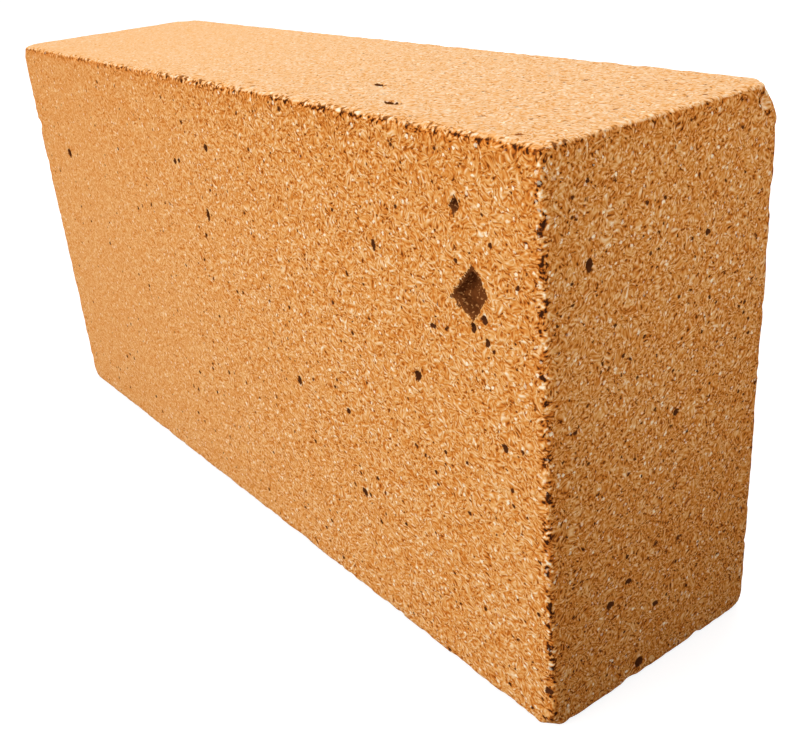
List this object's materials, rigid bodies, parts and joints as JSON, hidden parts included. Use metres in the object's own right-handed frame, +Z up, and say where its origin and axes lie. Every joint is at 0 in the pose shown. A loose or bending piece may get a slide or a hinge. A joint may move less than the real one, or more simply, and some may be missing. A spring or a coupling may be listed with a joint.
{
  "type": "refractory firebrick",
  "caption": "Rectangular block of fired fireclay with rough faces, worn arrises, a chipped corner and small burnt-out pits, laid in furnace, kiln and stove linings.",
  "frame": {"origin": "middle of the underside, the long narrow side that the brick stands on", "axes": "+X along the brick towards the end with the chipped corner, +Y through its thickness, away from the large side with the pits, +Z up"},
  "size_m": [0.25, 0.064, 0.124],
  "materials": {
    "fired_clay": "matte, rough"
  },
  "bodies": {
    "root": {"firebrick": "fired_clay"}
  },
  "joints": []
}
